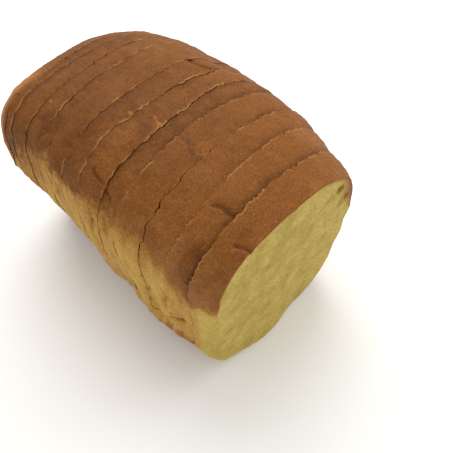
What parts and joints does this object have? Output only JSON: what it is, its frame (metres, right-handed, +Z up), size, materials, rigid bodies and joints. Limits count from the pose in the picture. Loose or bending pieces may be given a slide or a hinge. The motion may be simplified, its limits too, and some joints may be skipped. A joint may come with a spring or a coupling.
{
  "type": "sliced tin loaf",
  "caption": "Tin loaf cut into slices that still stand together, with a domed brown crust, a pale cut face in front and a rounded crust heel at the rear.",
  "frame": {"origin": "middle of the loaf's bounding box, on the surface that it stands on", "axes": "+Z up through the crown, +Y along the loaf from the cut front face to the rear heel, +X across it"},
  "size_m": [0.1068, 0.1398, 0.1127],
  "materials": {
    "slice": "matte baked crust round the edge, fading to pale ochre on the side walls, with soft pale yellow crumb on the cut faces",
    "heel": "matte baked crust all over the outside, with soft pale yellow crumb on the one cut face"
  },
  "bodies": {
    "root": {"slice_01": "slice", "slice_02": "slice", "slice_03": "slice", "slice_04": "slice", "slice_05": "slice", "slice_06": "slice", "slice_07": "slice", "slice_08": "slice", "slice_09": "slice", "slice_10": "slice", "slice_11": "slice", "slice_12": "slice", "rear_heel": "heel"}
  },
  "joints": []
}
